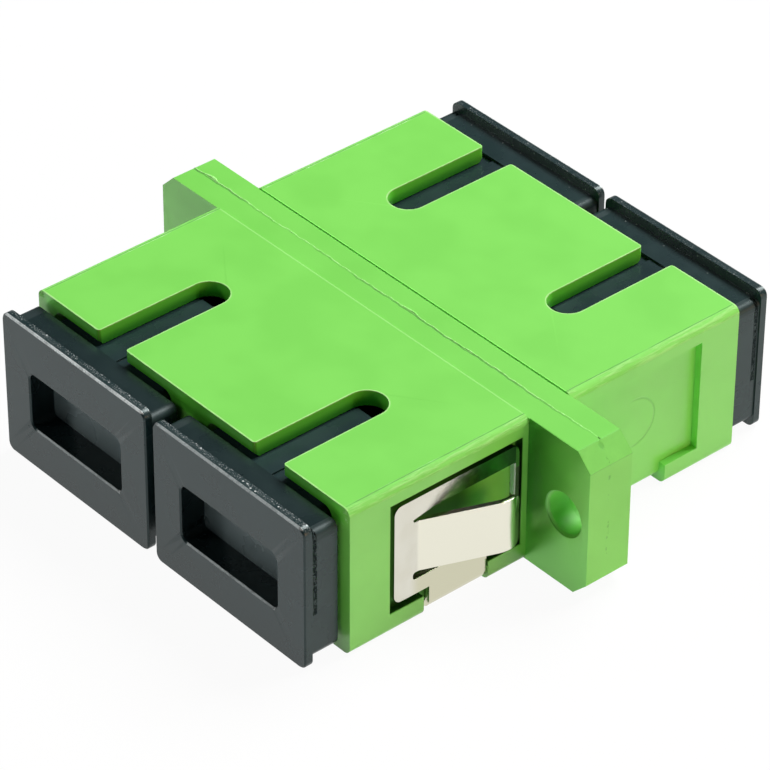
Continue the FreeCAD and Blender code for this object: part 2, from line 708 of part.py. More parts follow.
def make_cap(label, side, turn, shift=0.0):
    # built about the port's axis with the housing's mouth at y = 0: plug at +Y, lip at -Y
    body = new_body(label)
    gap = s["collar_gap"]
    lip_back = gap + s["collar_length"]
    lip_half_width = (s["port_pitch"] - s["lip_spacing"]) / 2
    lip_half_height = axis_height - s["lip_floor_gap"]
    collar_half_width = lip_half_width - s["lip_side_step"]
    plug_half_width = plug_width / 2
    plug_half_height = plug_height / 2
    collar_half_height = plug_half_height + s["collar_height_step"]

    plug_sketch = new_sketch(body, f"{label}_plug_sketch", "XZ_Plane", -s["plug_length"])
    draw_rounded_rectangle(plug_sketch, -plug_half_width, plug_half_width,
                           -plug_half_height, plug_half_height, s["plug_corner"])
    pad(body, f"{label}_plug", plug_sketch, s["plug_length"] + lip_back)

    collar_sketch = new_sketch(body, f"{label}_collar_sketch", "XZ_Plane", gap)
    draw_rounded_rectangle(collar_sketch, -collar_half_width, collar_half_width,
                           -collar_half_height, collar_half_height, s["plug_corner"])
    pad(body, f"{label}_collar", collar_sketch, s["collar_length"])

    key_half = s["key_width"] / 2
    key_sketch = new_sketch(body, f"{label}_key_sketch", "XZ_Plane", -s["plug_length"])
    draw_rectangle(key_sketch, -key_half, key_half, 0, plug_half_height + s["key_height"])
    pad(body, f"{label}_key", key_sketch, s["plug_length"] + gap)

    lip_sketch = new_sketch(body, f"{label}_lip_sketch", "XZ_Plane", lip_back)
    draw_rounded_rectangle(lip_sketch, -lip_half_width, lip_half_width,
                           -lip_half_height, lip_half_height, s["lip_corner"])
    pad(body, f"{label}_lip", lip_sketch, s["lip_thickness"])

    hollow_sketch = new_sketch(body, f"{label}_hollow_sketch", "XZ_Plane", -s["plug_length"])
    draw_rectangle(hollow_sketch, -plug_half_width + s["cap_wall"], plug_half_width - s["cap_wall"],
                   -plug_half_height + s["cap_wall"], plug_half_height - s["cap_wall"])
    hollow_depth = s["plug_length"] + cap_front - s["finger_pocket_depth"] - s["cap_web"]
    pocket(body, f"{label}_hollow", hollow_sketch, hollow_depth, True)

    front_sketch = new_sketch(body, f"{label}_front_sketch", "XZ_Plane", cap_front)
    pocket_middle = -s["finger_pocket_drop"]
    draw_rounded_rectangle(front_sketch, -s["finger_pocket_width"] / 2, s["finger_pocket_width"] / 2,
                           pocket_middle - s["finger_pocket_height"] / 2,
                           pocket_middle + s["finger_pocket_height"] / 2, s["finger_pocket_corner"])
    front = pocket(body, f"{label}_front", front_sketch, s["finger_pocket_depth"])
    front.TaperAngle = -s["finger_pocket_draft"].number
    front.setExpression("TaperAngle", f"-1 * {s['finger_pocket_draft'].text}")
    doc.recompute()

    def is_front_edge(edge, box):
        return near(box.YMin, -cap_front) and near(box.YMax, -cap_front)

    dress(body, "Chamfer", f"{label}_front_edges", front,
          edges_where(front, is_front_edge), s["lip_edge"])
    way = -1 if turn == 0 else 1
    set_place(body, side * axis_x + shift, way * s["half_length"], axis_height, turn)
    return body


parts = [make_housing("front_housing", 0), make_housing("rear_housing", 180)]
for place, side in (("left", -1), ("right", 1)):
    parts.append(make_latch(f"front_{place}_latch", side, 0))
    parts.append(make_latch(f"rear_{place}_latch", side, 180))
    parts.append(make_sleeve(f"{place}_sleeve", side))
parts.append(make_panel_clip("panel_clip"))
parts.append(make_cap("front_left_cap", -1, 0, s["front_left_cap_shift"]))
parts.append(make_cap("front_right_cap", 1, 0, s["front_right_cap_shift"]))
parts.append(make_cap("rear_left_cap", -1, 180))
parts.append(make_cap("rear_right_cap", 1, 180, s["rear_right_cap_shift"]))
doc.recompute()

faults = [thing.Name for thing in doc.Objects if "Invalid" in thing.State or "Error" in thing.State]
for part in parts:
    if part.Shape.isNull() or not part.Shape.isValid() or len(part.Shape.Solids) != 1:
        faults.append(part.Label)
if faults:
    raise RuntimeError(f"failed: {faults}")

os.makedirs("parts", exist_ok=True)
for part in parts:
    part.Shape.exportStep(os.path.join("parts", f"{part.Label}.step"))
    box = part.Shape.BoundBox
    print(f"{part.Label}: {part.Shape.Volume:.2f} mm3, "
          f"x {box.XMin:.2f} to {box.XMax:.2f}, y {box.YMin:.2f} to {box.YMax:.2f}, "
          f"z {box.ZMin:.2f} to {box.ZMax:.2f}")
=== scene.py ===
import json
import math

import bmesh
import bpy
from mathutils import Matrix, Vector, noise


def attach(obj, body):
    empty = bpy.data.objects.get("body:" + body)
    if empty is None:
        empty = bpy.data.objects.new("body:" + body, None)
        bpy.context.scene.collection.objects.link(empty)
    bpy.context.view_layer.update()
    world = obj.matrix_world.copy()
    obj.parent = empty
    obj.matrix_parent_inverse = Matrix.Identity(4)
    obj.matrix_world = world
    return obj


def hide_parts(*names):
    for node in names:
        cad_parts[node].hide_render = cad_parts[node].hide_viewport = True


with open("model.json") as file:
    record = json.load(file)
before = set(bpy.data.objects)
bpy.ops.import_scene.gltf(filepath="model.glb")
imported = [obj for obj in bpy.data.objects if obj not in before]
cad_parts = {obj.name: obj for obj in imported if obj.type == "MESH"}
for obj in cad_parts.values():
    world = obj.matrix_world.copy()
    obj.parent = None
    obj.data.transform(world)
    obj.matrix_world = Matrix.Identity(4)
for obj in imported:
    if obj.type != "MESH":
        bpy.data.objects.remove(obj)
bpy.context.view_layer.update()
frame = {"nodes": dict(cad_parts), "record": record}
mm = 0.001

# one green moulding in two halves, four slate dust caps, a bright spring clip, lying on a white table;
# sizes and places are those of the frame's pieces, in millimetres, with the plugs along Y
bodyPlan = {
    "pitch": 12.7,          # from one port to the other
    "halfWidth": 12.6,
    "height": 9.2,
    "halfLength": 13.4,     # from the weld line to a mouth
    "recessDepth": 0.45,
    "flangeHalf": 1.45,     # half its thickness
    "flangeEnd": 17.15,
    "flangeLow": 0.08,
    "flangeHigh": 9.12,
    "flangeCorner": 0.95,
    "capFace": 15.95,
    "capTop": 8.99,
}


class Wire:
    # one node output; arithmetic on it adds Math nodes
    def __init__(self, tree, socket):
        self.tree = tree
        self.socket = socket

    def joined(self, operation, *values):
        node = self.tree.nodes.new("ShaderNodeMath")
        node.operation = operation
        for slot, value in zip(node.inputs, values):
            if isinstance(value, Wire):
                self.tree.links.new(value.socket, slot)
            else:
                slot.default_value = value
        return Wire(self.tree, node.outputs[0])

    def __add__(self, other):
        return self.joined("ADD", self, other)

    def __radd__(self, other):
        return self.joined("ADD", other, self)

    def __sub__(self, other):
        return self.joined("SUBTRACT", self, other)

    def __rsub__(self, other):
        return self.joined("SUBTRACT", other, self)

    def __mul__(self, other):
        return self.joined("MULTIPLY", self, other)

    def __rmul__(self, other):
        return self.joined("MULTIPLY", other, self)

    def __truediv__(self, other):
        return self.joined("DIVIDE", self, other)

    def __pow__(self, other):
        return self.joined("POWER", self, other)

    def __abs__(self):
        return self.joined("ABSOLUTE", self)

    def sine(self):
        return self.joined("SINE", self)

    def above(self, other):
        return self.joined("GREATER_THAN", self, other)

    def below(self, other):
        return self.joined("LESS_THAN", self, other)

    def inside(self, low, high):
        return self.above(low) * self.below(high)

    def least(self, other):
        return self.joined("MINIMUM", self, other)

    def most(self, *others):
        found = self
        for other in others:
            found = found.joined("MAXIMUM", found, other)
        return found


class Finish:
    # a procedural material built round one shader
    def __init__(self, name, shader="ShaderNodeBsdfPrincipled"):
        self.material = bpy.data.materials.new(name)
        self.material.use_nodes = True
        self.tree = self.material.node_tree
        self.tree.nodes.clear()
        self.output = self.tree.nodes.new("ShaderNodeOutputMaterial")
        self.shader = self.tree.nodes.new(shader)
        self.tree.links.new(self.shader.outputs[0], self.output.inputs["Surface"])

    def node(self, kind, settings=None, values=None):
        made = self.tree.nodes.new(kind)
        for key, value in (settings or {}).items():
            if key == "stops":
                self.setStops(made.color_ramp, value)
            else:
                setattr(made, key, value)
        for key, value in (values or {}).items():
            self.feed(made.inputs[key], value)
        return made

    def setStops(self, ramp, stops):
        while len(ramp.elements) < len(stops):
            ramp.elements.new(0.5)
        for element, (place, colour) in zip(ramp.elements, stops):
            element.position = place
            element.color = colour

    def feed(self, slot, value):
        if isinstance(value, Wire):
            self.tree.links.new(value.socket, slot)
        elif hasattr(value, "is_output"):
            self.tree.links.new(value, slot)
        else:
            slot.default_value = value

    def wire(self, socket):
        return Wire(self.tree, socket)

    def place(self):
        # object coordinates in millimetres
        values = {"Vector": self.node("ShaderNodeTexCoord").outputs["Object"], "Scale": 1 / mm}
        return self.node("ShaderNodeVectorMath", {"operation": "SCALE"}, values).outputs[0]

    def axes(self, vector):
        parts = self.node("ShaderNodeSeparateXYZ", None, {"Vector": vector})
        return [self.wire(part) for part in parts.outputs]

    def noise(self, vector, scale, detail, roughness=0.55):
        values = {"Vector": vector, "Scale": scale, "Detail": detail, "Roughness": roughness}
        return self.wire(self.node("ShaderNodeTexNoise", {"noise_dimensions": "3D"}, values).outputs["Fac"])

    def stretch(self, vector, factors):
        values = {"Vector": vector, "Scale": factors}
        return self.node("ShaderNodeMapping", {"vector_type": "POINT"}, values).outputs[0]

    def ramp(self, value, low, high, start=0.0, end=1.0):
        values = {"Value": value, "From Min": low, "From Max": high, "To Min": start, "To Max": end}
        made = self.node("ShaderNodeMapRange", {"interpolation_type": "SMOOTHSTEP", "clamp": True}, values)
        return self.wire(made.outputs["Result"])

    def band(self, value, inner, outer):
        # one where the value is within inner of nought, fading out to nothing at outer
        return 1 - self.ramp(abs(value), inner, outer)

    def dots(self, vector, scale, size, share):
        # round specks of this size, scattered in cells of 1/scale mm, of which only a share has one
        cells = self.node("ShaderNodeTexVoronoi", {"feature": "F1"}, {"Vector": vector, "Scale": scale})
        parts = self.node("ShaderNodeSeparateColor", None, {"Color": cells.outputs["Color"]})
        near = self.wire(cells.outputs["Distance"]).below(size * scale)
        return near * self.wire(parts.outputs[0]).below(share)

    def mix(self, factor, first, second):
        made = self.node("ShaderNodeMix", {"data_type": "RGBA"})
        self.feed(made.inputs["Factor"], factor)
        # A, B and the result go by number, because each data type has its own sockets of those names
        self.feed(made.inputs[6], first)
        self.feed(made.inputs[7], second)
        return made.outputs[2]

    def bump(self, height):
        return self.node("ShaderNodeBump", None, {"Height": height, "Distance": mm}).outputs["Normal"]

    def finish(self, **values):
        for key, value in values.items():
            self.feed(self.shader.inputs[key], value)
        return self.material


def linear(value):
    # one channel of a screen colour, 0 to 255, along the sRGB curve
    if value > 10:
        return ((value / 255 + 0.055) / 1.055) ** 2.4
    return value / 255 / 12.92


def rgb(colour):
    return (*[linear(value) for value in colour], 1.0)


# the weld line wanders across the flange: height, pace and start of each wave, in millimetres
seamPlan = {
    "waves": [(0.028, 0.9, 0.6), (0.02, 3.7, 1.1), (0.012, 9.0, 2.0)],
    # place along X and how open the line is there
    "open": [(-16.7, 0.0), (-16.3, 1.0), (-12.2, 1.0), (-11.6, 0.5), (-9.5, 0.4), (-8.8, 0.15), (-6.2, 0.15),
             (-5.8, 0.5), (-4.7, 0.5), (-4.3, 0.3), (-3.0, 0.3), (-2.6, 0.7), (2.0, 0.9), (9.0, 0.9),
             (11.0, 0.7), (14.0, 0.4), (15.9, 0.0)],
}

# in each look, places are in millimetres. A line says how far from its middle a mark is whole and where
# it is gone. A fade says where it starts and where it ends, and then the shares at both, if not 0 and 1.
# A share says how much of a colour is laid over the one below. A noise has a scale, a detail and a roughness
housingLook = {
    "colour": (133, 226, 96),
    "deep": (127, 220, 90),
    "shade": (34, 140, 14),
    "edge": (190, 246, 160),
    "step": (150, 255, 110),
    "corner": (44, 140, 16),
    "wall": (122, 252, 76),
    "gap": (24, 70, 10),
    "specular": 0.7,
    "roughness": 0.32,
    "roughnessChange": 0.06,
    "mattRoughness": 0.8,
    "earRoughness": 0.55,
    "grainHeight": 0.0015,
    "markHeight": 0.02,
    "cloud": (0.22, 2.0),
    "grain": (9.0, 2.0),
    "patches": (1.3, 3.0, 0.7),
    "streaks": (1.0, 3.0, 0.7),
    "streakStretch": (6.0, 0.5, 6.0),
    "cloudFade": (0.35, 0.65),
    "topDepth": 0.12,
    # dark specks: cells to the millimetre, size, share of the cells
    "specks": (0.35, 0.045, 0.35),
    "speckShare": 0.3,
    # the ejector pin's arc on the floor of the side recess
    "arcAlong": 6.4,
    "arcUp": 4.75,
    "arcRadius": 1.5,
    "arcLine": (0.02, 0.09),
    "arcFade": (-0.5, 0.5),
    "arcShare": 0.22,
    # the floor of the side recess lies between these depths
    "floorDeep": 0.6,
    "floorShallow": 0.3,
    # the weld line, a dark line partly of painted shade with a painted highlight behind it: where it is more
    # open it is wider, by the first number over the second
    "crackLine": (0.012, 0.055),
    "crackOpen": (0.7, 0.4),
    "crackFade": (0.25, 0.5, 0.55, 1.0),
    "nickAlong": -0.1,
    "nickLine": (0.03, 0.1),
    "nickPatches": 0.6,
    "nickReach": 0.9,
    "nickShare": 0.6,
    "spotPlace": (16.4, -0.05),
    "spotFade": (0.2, 0.08),
    "spotDepth": 0.5,
    "lipOffset": 0.1,
    "lipLine": (0.02, 0.06),
    "lipFade": (0.4, 0.55, 0.1, 1.0),
    "lipShare": 0.5,
    "seamShare": 0.55,
    # the crease at the start of the rounded long edges, painted dark as the shade of its tiny step, and the
    # painted highlight in streaks on the round
    "crease": 12.17,
    "creaseLine": (0.015, 0.05),
    "creaseFade": (0.3, 0.5, 0.35, 1.0),
    "creaseEnd": 0.12,
    "creaseShare": 0.6,
    "roundOffset": 0.2,
    "roundLine": (0.2, 0.3),
    "roundDepth": 0.45,
    "streakFade": (0.45, 0.62),
    "streakShare": 0.35,
    # the low steps on both sides of the flange, the shaded rear one lightened with painted light and the
    # front one with a painted highlight, and its ears, with painted shade in their inner corners and on
    # their cut corners
    "stepInset": 0.4,
    "stepOffset": 0.02,
    "stepLine": (0.05, 0.08),
    "ridgeLine": (0.03, 0.07),
    "ridgeShare": 0.3,
    "earLine": (0.03, 0.06),
    "cornerAcross": (3.4, 0.2),
    "cornerUp": (0.2, 4.4, 0.1, 1.0),
    "cornerShare": 0.9,
    "earMetal": 0.35,
    "earTip": 1.02,
    "earTipSkin": 0.03,
    "cutLine": (0.04, 0.08),
    "cutShare": 0.1,
    "cutPatches": 0.22,
    "flatShare": 0.05,
    # the painted highlights along the edges of the key slots and of the mouths
    "slotHalf": 1.125,
    "slotTurn": 6.925,
    "slotLine": (0.04, 0.1),
    "mouthLine": (0.05, 0.12),
    "rubbedDepth": 0.07,
    "rubbedFade": (0.3, 0.6, 0.35, 0.8),
    "mouthCornerLine": (0.03, 0.12),
    "mouthCornerDepth": 1.1,
    "mouthCornerPatches": 0.58,
    "mouthCornerShare": 0.6,
    # the walls of the key slots and of the mouths are painted a more saturated green for the light bounced
    # between them, and darken downwards with painted shade
    "wallDepth": 0.05,
    "wallFade": (7.9, 8.2),
    "wallLine": (0.03, 0.06),
    "mouthSides": (0.2, 0.5),
    "deepFade": (0.3, 0.85),
    "deepShare": 0.45,
    "wallMetal": 0.15,
    # the clip's plate in its recess: the gap round it is darkened with painted shade
    "plateAlong": -6.15,
    "plateHalf": 4.2,
    "plateUp": 4.65,
    "plateTall": 3.05,
    "plateFade": (-0.12, 0.03),
    "plateReach": 0.7,
    "plateSkin": 0.06,
    "grimeShare": 0.85,
    "grimeMetal": 0.8,
    # the floor behind the clip's slits gets the painted shadow of the tongue, and the notch beside its strap
    # gets painted shade
    "floorLine": (0.05, 0.1),
    "floorAlong": -9.2,
    "floorAlongLine": (3.2, 5.6),
    "floorUpFade": 0.3,
    "recessEnd": -10.8,
    "notchSide": 12.2,
    "notchSideLine": (0.25, 0.3),
    "notchAlong": -8.2,
    "notchAlongLine": (0.3, 0.35),
    "notchTop": 1.3,
    "behindShare": 0.8,
    "behindMetal": 0.7,
    # the screw holes
    "boreUp": 4.75,
    "boreSide": 0.2,
    "boreEnd": 0.25,
    "boreSkin": 0.08,
    "boreLine": (1.9, 2.0),
    # how far inside a face its mask starts
    "skin": 0.05,
    "thinSkin": 0.02,
}


def ejectorArc(finish, look, x, y, z):
    # a faint arc on the floor of one side recess of each half, left by an ejector pin
    along = abs(y) - look["arcAlong"]
    up = z - look["arcUp"]
    radius = (along * along + up * up) ** 0.5
    arc = finish.band(radius - look["arcRadius"], *look["arcLine"]) * finish.ramp(along, *look["arcFade"])
    side = bodyPlan["halfWidth"]
    onFloor = abs(x).inside(side - look["floorDeep"], side - look["floorShallow"])
    return arc * onFloor * (x * y).above(0.0)


def weldLine(finish, look, x, y, z, grain, patches):
    # a dark line along the flange, partly an open crack and partly painted shade on the near slope of the
    # bead, with a painted highlight on the bead's top behind it and a few nicks at the ends
    wander = sum((x * pace + start).sine() * height for height, pace, start in seamPlan["waves"])
    reach = bodyPlan["flangeEnd"]
    stops = [((place + reach) / reach / 2, (share, share, share, 1.0)) for place, share in seamPlan["open"]]
    shares = finish.node("ShaderNodeValToRGB", {"stops": stops}, {"Fac": (x + reach) / (2 * reach)})
    opened = finish.wire(shares.outputs["Color"])
    offset = y - wander
    high, low = bodyPlan["flangeHigh"], bodyPlan["flangeLow"]
    onFlat = z.above(high - look["skin"]).most(z.below(low + look["skin"]))
    growth, narrowest = look["crackOpen"]
    crackAndShade = finish.band(offset / (opened * growth + narrowest), *look["crackLine"]) * opened * onFlat
    crackAndShade = crackAndShade * finish.ramp(grain, *look["crackFade"])
    nicks = finish.band(y - look["nickAlong"], *look["nickLine"]) * patches.above(look["nickPatches"])
    nicks = nicks * (1 - onFlat) * abs(x).above(reach - look["nickReach"])
    spotX, spotY = look["spotPlace"]
    across, along = x - spotX, y - spotY
    spot = finish.ramp((across * across + along * along) ** 0.5, *look["spotFade"])
    nicks = nicks.most(spot * z.above(high - look["spotDepth"]))
    beadHighlight = finish.band(offset - look["lipOffset"], *look["lipLine"]) * opened * onFlat
    return crackAndShade.most(nicks * look["nickShare"]), beadHighlight * finish.ramp(patches, *look["lipFade"])


def slotsAndMouths(finish, look, x, y, z, patches):
    # painted highlights along the rims of the key slots and mouths, with light patches at the mouths'
    # corners; their walls, painted a more saturated green; and painted shade that darkens the walls
    # downwards
    top = bodyPlan["height"]
    across = abs(abs(x) - bodyPlan["pitch"] / 2)
    inward = (abs(y) - look["slotTurn"]).least(0.0)
    slotEdge = (across * across + inward * inward) ** 0.5 - look["slotHalf"]
    mouthEdge = abs(y) - bodyPlan["halfLength"]
    rimHighlight = finish.band(slotEdge, *look["slotLine"]).most(finish.band(mouthEdge, *look["mouthLine"]))
    rimHighlight = rimHighlight * z.above(top - look["rubbedDepth"]) * finish.ramp(patches, *look["rubbedFade"])
    corners = finish.band(mouthEdge, *look["mouthCornerLine"]) * z.above(top - look["mouthCornerDepth"])
    corners = corners * patches.above(look["mouthCornerPatches"]) * look["mouthCornerShare"]

    # the walls get a more saturated green for bounced light, and painted shade darkens them towards their
    # foot
    low = z.below(top - look["wallDepth"]) * finish.ramp(z, *look["wallFade"])
    outer, inner = look["mouthSides"]
    mouths = finish.band(mouthEdge, *look["wallLine"])
    mouths = mouths * finish.ramp(abs(x), look["crease"] + outer, look["crease"] - inner)
    walls = finish.band(slotEdge, *look["wallLine"]).most(mouths) * low
    start, end = look["deepFade"]
    return rimHighlight.most(corners), walls, walls * finish.ramp(z, top - start, top - end)


def clipRecess(finish, look, x, y, z):
    # painted shade in the narrow gap round the clip's plate, and painted shadow on the floor behind its
    # slits and in the notch beside its strap
    side = bodyPlan["halfWidth"]
    along, up = abs(y - look["plateAlong"]), abs(z - look["plateUp"])
    past = (along - look["plateHalf"]).most(up - look["plateTall"])
    gapShade = finish.ramp(past, *look["plateFade"]) * past.below(look["plateReach"])
    gapShade = gapShade * abs(x).inside(side - look["floorDeep"], side - look["plateSkin"])
    gapShade = gapShade * y.below(-bodyPlan["flangeHalf"])

    onFloor = finish.band(abs(x) - side + bodyPlan["recessDepth"], *look["floorLine"])
    onFloor = onFloor * finish.band(y - look["floorAlong"], *look["floorAlongLine"])
    onFloor = onFloor * y.above(look["recessEnd"])
    tall = look["plateTall"]
    onFloor = onFloor * finish.band(z - look["plateUp"], tall, tall + look["floorUpFade"])
    notch = finish.band(abs(x) - look["notchSide"], *look["notchSideLine"]) * z.below(look["notchTop"])
    notch = notch * finish.band(y - look["notchAlong"], *look["notchAlongLine"])
    return gapShade, onFloor.most(notch)


def makeHousingPlastic():
    look = housingLook
    finish = Finish("housingPlastic")
    vector = finish.place()
    x, y, z = finish.axes(vector)
    cloud = finish.noise(vector, *look["cloud"])
    grain = finish.noise(vector, *look["grain"])
    patches = finish.noise(vector, *look["patches"])
    streaks = finish.noise(finish.stretch(vector, look["streakStretch"]), *look["streaks"])
    top, side, flange = bodyPlan["height"], bodyPlan["halfWidth"], bodyPlan["flangeHalf"]
    onTop = z.above(top - look["topDepth"])
    outside = abs(y).above(flange)
    arc = ejectorArc(finish, look, x, y, z)
    seam, beadHighlight = weldLine(finish, look, x, y, z, grain, patches)
    light, walls, deep = slotsAndMouths(finish, look, x, y, z, patches)
    gapShade, behind = clipRecess(finish, look, x, y, z)
    specks = finish.dots(vector, *look["specks"]) * onTop

    # a fine crease where the top meets its rounded long edges, painted dark as the shade of its tiny step,
    # and a painted highlight in streaks on the round
    crease = finish.band(abs(x) - look["crease"], *look["creaseLine"]) * onTop * outside
    crease = crease * finish.ramp(streaks, *look["creaseFade"])
    crease = crease * abs(y).below(bodyPlan["halfLength"] - look["creaseEnd"])
    onRound = finish.band(abs(x) - look["crease"] - look["roundOffset"], *look["roundLine"])
    onRound = onRound * z.above(top - look["roundDepth"]) * outside
    streakedHighlight = onRound * finish.ramp(streaks, *look["streakFade"])

    # painted light on the shaded low step behind the flange, a painted highlight on the step in front of it,
    # and painted shade in the inner corner of each ear
    between = abs(x).below(side - look["stepInset"]) * z.above(bodyPlan["flangeHigh"] - look["skin"])
    step = finish.band(y - flange + look["stepOffset"], *look["stepLine"]) * between
    ridgeHighlight = finish.band(y + flange + look["stepOffset"], *look["ridgeLine"]) * between
    earFace = finish.band(y + flange, *look["earLine"]) * x.above(side - look["thinSkin"])
    cornerOuter, cornerInner = look["cornerAcross"]
    cornerShade = earFace * finish.ramp(x, side + cornerOuter, side + cornerInner)
    cornerShade = cornerShade * finish.ramp(z, *look["cornerUp"])

    # the cut corners of the ears are matt, a little uneven, and painted darker as shade
    cut = abs(x) + z - bodyPlan["flangeEnd"] - bodyPlan["flangeHigh"] + bodyPlan["flangeCorner"]
    onCut = finish.band(cut, *look["cutLine"]) * (1 - outside)
    onCut = onCut * (look["cutShare"] + patches * look["cutPatches"])
    flat = z.above(bodyPlan["flangeHigh"] - look["thinSkin"]) * (1 - outside)
    earTip = abs(x).above(bodyPlan["flangeEnd"] - look["earTip"])
    earTip = earTip * abs(y).below(flange - look["earTipSkin"])

    # the screw holes are duller inside than the faces round them
    bore = abs(x).inside(side + look["boreSide"], bodyPlan["flangeEnd"] - look["boreEnd"])
    bore = bore * abs(y).below(flange - look["boreSkin"])
    bore = bore * finish.band(z - look["boreUp"], *look["boreLine"])

    # painted highlights: streaks on the round, the bead's top, the slot and mouth rims and the front step
    pale = (streakedHighlight * look["streakShare"]).most(beadHighlight * look["lipShare"], light, ridgeHighlight * look["ridgeShare"])
    # the crease is painted shade, the weld line partly so
    dark = (arc * look["arcShare"]).most(crease * look["creaseShare"], seam * look["seamShare"],
                                         specks * look["speckShare"])
    base = finish.mix(finish.ramp(cloud, *look["cloudFade"]), rgb(look["colour"]), rgb(look["deep"]))
    base = finish.mix(pale, base, rgb(look["edge"]))
    # painted light on the shaded rear step
    base = finish.mix(step, base, rgb(look["step"]))
    # painted bounce light on the walls, then painted shade towards their foot
    base = finish.mix(walls, base, rgb(look["wall"]))
    base = finish.mix(deep * look["deepShare"], base, rgb(look["shade"]))
    # painted shade in the ears' inner corners
    base = finish.mix(cornerShade * look["cornerShare"], base, rgb(look["corner"]))
    # painted shade on the ears' cut corners, and the flange's top a little darker
    base = finish.mix(onCut.most(flat * look["flatShare"]), base, rgb(look["shade"]))
    base = finish.mix(dark, base, rgb(look["shade"]))
    # painted shade round the clip's plate and painted shadow behind its slits, deepened through Metallic
    paintedShade = (gapShade * look["grimeShare"]).most(behind * look["behindShare"])
    base = finish.mix(paintedShade, base, rgb(look["gap"]))
    matt = onRound.most(step, ridgeHighlight, seam) * look["mattRoughness"]
    roughness = look["roughness"] + (cloud - 0.5) * look["roughnessChange"]
    roughness = roughness.most(matt, earTip * look["earRoughness"], bore * look["earRoughness"])
    metallic = (gapShade * look["grimeMetal"]).most(behind * look["behindMetal"], earFace * look["earMetal"],
                                                 walls * look["wallMetal"])
    height = grain * look["grainHeight"] + (beadHighlight - arc - seam + streakedHighlight) * look["markHeight"]
    return finish.finish(**{"Base Color": base, "Roughness": roughness, "Metallic": metallic,
                            "Normal": finish.bump(height), "Specular IOR Level": look["specular"]})


def makeFlashPlastic():
    look = {
        "colour": (142, 234, 108),
        "pale": (176, 246, 146),
        "specular": 0.7,
        "roughness": 0.7,
        "roughnessChange": 0.1,
        "grain": (5.0, 3.0),
        "grainFade": (0.4, 0.6),
        "grainHeight": 0.01,
    }
    finish = Finish("weldFlashPlastic")
    grain = finish.noise(finish.place(), *look["grain"])
    base = finish.mix(finish.ramp(grain, *look["grainFade"]), rgb(look["colour"]), rgb(look["pale"]))
    roughness = look["roughness"] + (grain - 0.5) * look["roughnessChange"]
    return finish.finish(**{"Base Color": base, "Roughness": roughness,
                            "Normal": finish.bump(grain * look["grainHeight"]),
                            "Specular IOR Level": look["specular"]})


capLook = {
    "colour": (31, 49, 51),
    "pale": (38, 56, 58),
    "worn": (226, 232, 232),
    "black": (6, 9, 9),
    "pocket": (88, 102, 104),
    "specular": 0.42,
    "specularTint": (0.86, 1.0, 0.99, 1.0),
    "roughness": 0.28,
    "roughnessChange": 0.16,
    "grainHeight": 0.002,
    "dashDepth": 0.03,
    "cloud": (0.4, 3.0),
    "grain": (14.0, 2.0),
    "patches": (0.9, 3.0, 0.7),
    "crumbs": (7.0, 4.0, 0.8),
    "cloudFade": (0.3, 0.7),
    # a painted highlight along the front edge of the lip; it shows less on the right caps
    "edgeLine": (0.08, 0.14),
    "edgePatches": (0.36, 0.5, 0.65, 1.0),
    "edgeCrumbs": (0.38, 0.5, 0.55, 1.0),
    "edgeSides": (0.1, -0.1, 0.45, 1.0),
    # the pocket's opening, with painted shade inside it and painted light on its back wall, and the painted
    # highlight on its sill
    "pocketAcross": 6.28,
    "pocketHalf": 3.825,
    "pocketUp": 4.405,
    "pocketTall": 1.75,
    "pocketBack": 14.45,
    "pocketSlack": (0.16, 0.05),
    "pocketStart": (15.92, 15.82),
    "pocketShare": 0.6,
    "backLine": (0.02, 0.06),
    "sillLine": (0.05, 0.11),
    "sillUpLine": (0.06, 0.11),
    "sillInset": 0.3,
    "sillFade": (0.35, 0.55, 0.45, 0.9),
    "sillShare": 0.7,
    # the scuffed back edge of the lip, weaker on the rear caps, and the small chips about it
    "lipBack": 15.45,
    "scuffOffset": 0.05,
    "scuffLine": (0.1, 0.34),
    "scuffUpLine": (0.1, 0.4),
    "scuffGrain": (0.52, 0.66),
    "scuffPatches": (0.36, 0.5),
    "scuffStrength": 0.6,
    "scuffEnds": (0.1, -0.1, 0.4, 1.3),
    "scuffShare": 0.6,
    "chips": (2.6, 0.055, 0.5),
    "chipOffset": 0.1,
    "chipLine": (0.4, 0.6),
    "chipInset": 0.06,
    # the black dashes down the outer sides of the caps, behind the lip
    "outerSide": 11.6,
    "dashOffset": 0.24,
    "dashLine": (0.08, 0.15),
    "dashCrumbs": (0.46, 0.5),
    "dashLow": 3.3,
    "dashShare": 0.9,
    "dashMetal": 0.95,
    # the collar's ends are dull, and its top is in shade on the front caps
    "collarBack": 13.75,
    "collarTop": 8.44,
    "collarSides": (1.0, 11.5),
    "collarLine": (0.5, 0.8),
    "collarRoughness": 0.5,
    "collarSkin": 0.05,
    "collarDepth": 0.1,
    "lipGap": 0.02,
    "shadedFade": (0.1, 0.6),
    "shadedShares": (0.3, 0.5),
    "dust": (0.8, 0.035, 0.3),
    "dustDepth": 1.2,
    "dustShare": 0.4,
}


